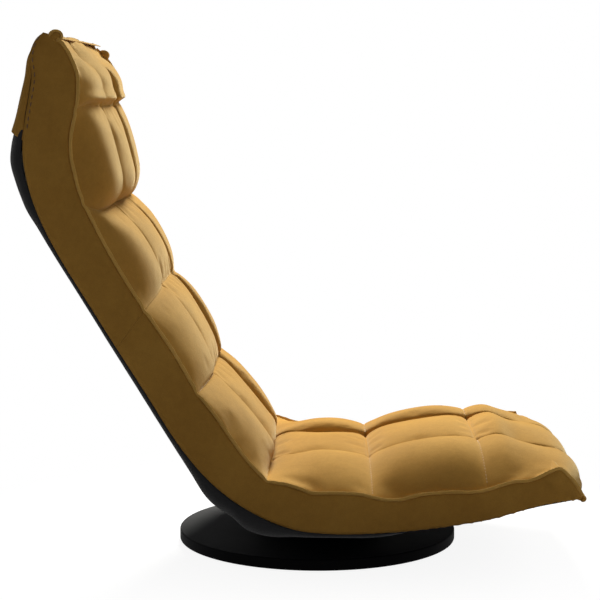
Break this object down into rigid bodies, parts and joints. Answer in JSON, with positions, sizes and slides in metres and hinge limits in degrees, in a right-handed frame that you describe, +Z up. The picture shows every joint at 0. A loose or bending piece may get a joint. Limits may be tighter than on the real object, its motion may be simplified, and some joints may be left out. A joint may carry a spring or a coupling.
{
  "type": "floor chair",
  "caption": "Legless floor chair on a swivel disc, with a quilted seat and a reclining back and a tilting head section on ratchet hinges.",
  "frame": {"origin": "on the floor, under the middle of the base disc, which is the swivel axis", "axes": "+Z up, the chair faces -Y, +X to the sitter's left"},
  "size_m": [0.53, 0.748, 0.7166],
  "materials": {
    "mat_rubber": "matte",
    "base_board": "satin black paint",
    "zinc_steel": "zinc plated",
    "ball_steel": "polished",
    "frame_paint": "satin",
    "ratchet_steel": "satin",
    "webbing": "woven straps",
    "foam": "open foam",
    "mustard_velvet": "short velvet pile",
    "black_cloth": "matte woven"
  },
  "bodies": {
    "base": {"anti_slip_mat": "mat_rubber", "base_disc": "base_board", "base_riser": "base_board", "base_screws": "zinc_steel", "turntable_lower_plate": "zinc_steel", "ball_cage": "zinc_steel", "turntable_balls": "ball_steel", "swivel_rivet": "zinc_steel"},
    "seat": {"turntable_upper_plate": "zinc_steel", "seat_mounting_plate": "frame_paint", "turntable_bolts": "zinc_steel", "turntable_nuts": "zinc_steel", "seat_hoop": "frame_paint", "seat_front_crossbar": "frame_paint", "seat_rear_crossbar": "frame_paint", "seat_webbing": "webbing", "recline_toothed_arm_left": "ratchet_steel", "recline_toothed_arm_right": "ratchet_steel", "seat_rail_rivets": "zinc_steel", "seat_side_panel_left": "mustard_velvet", "seat_side_panel_right": "mustard_velvet", "seat_bottom_cover": "black_cloth", "seat_foam": "foam", "seat_cushion": "mustard_velvet"},
    "back": {"recline_fork_left": "ratchet_steel", "recline_fork_right": "ratchet_steel", "recline_pins": "zinc_steel", "back_rail_rivets": "zinc_steel", "back_rail_left": "frame_paint", "back_rail_right": "frame_paint", "back_low_crossbar": "frame_paint", "back_high_crossbar": "frame_paint", "back_webbing": "webbing", "head_toothed_arm_left": "ratchet_steel", "head_toothed_arm_right": "ratchet_steel", "back_side_panel_left": "mustard_velvet", "back_side_panel_right": "mustard_velvet", "back_rear_cover": "black_cloth", "back_foam": "foam", "back_cushion": "mustard_velvet", "lumbar_fold": "mustard_velvet", "fold_side_gussets": "mustard_velvet", "corner_cover": "black_cloth", "neck_cushion": "mustard_velvet", "neck_side_panels": "mustard_velvet", "neck_rear_cover": "black_cloth"},
    "recline_pawls": {"recline_pawls": "ratchet_steel"},
    "head": {"head_fork_left": "ratchet_steel", "head_fork_right": "ratchet_steel", "head_pins": "zinc_steel", "head_hoop_rivets": "zinc_steel", "head_hoop": "frame_paint", "head_webbing": "webbing", "head_side_panel_left": "mustard_velvet", "head_side_panel_right": "mustard_velvet", "head_rear_cover": "mustard_velvet", "head_foam": "foam", "head_cushion": "mustard_velvet"},
    "head_pawls": {"head_pawls": "ratchet_steel"}
  },
  "joints": [
    {"name": "swivel", "type": "hinge", "parent": "base", "child": "seat", "pos_m": [0, 0, 0.0523], "axis": [0, 0, 1], "continuous": true},
    {"name": "recline", "type": "hinge", "parent": "seat", "child": "back", "pos_m": [0, 0.086, 0.088], "axis": [1, 0, 0], "range_deg": [-57, 28.5], "deforming": ["lumbar_fold", "fold_side_gussets", "corner_cover"]},
    {"name": "head_tilt", "type": "hinge", "parent": "back", "child": "head", "pos_m": [0, 0.37585, 0.55779], "axis": [1, 0, 0], "range_deg": [-38, 19], "deforming": ["neck_cushion", "neck_side_panels", "neck_rear_cover"]},
    {"name": "recline_pawl", "type": "hinge", "parent": "back", "child": "recline_pawls", "pos_m": [0, 0.10958, 0.109], "axis": [1, 0, 0], "range_deg": [-15, 0]},
    {"name": "head_pawl", "type": "hinge", "parent": "head", "child": "head_pawls", "pos_m": [0, 0.36948, 0.58872], "axis": [1, 0, 0], "range_deg": [-15, 0]}
  ]
}
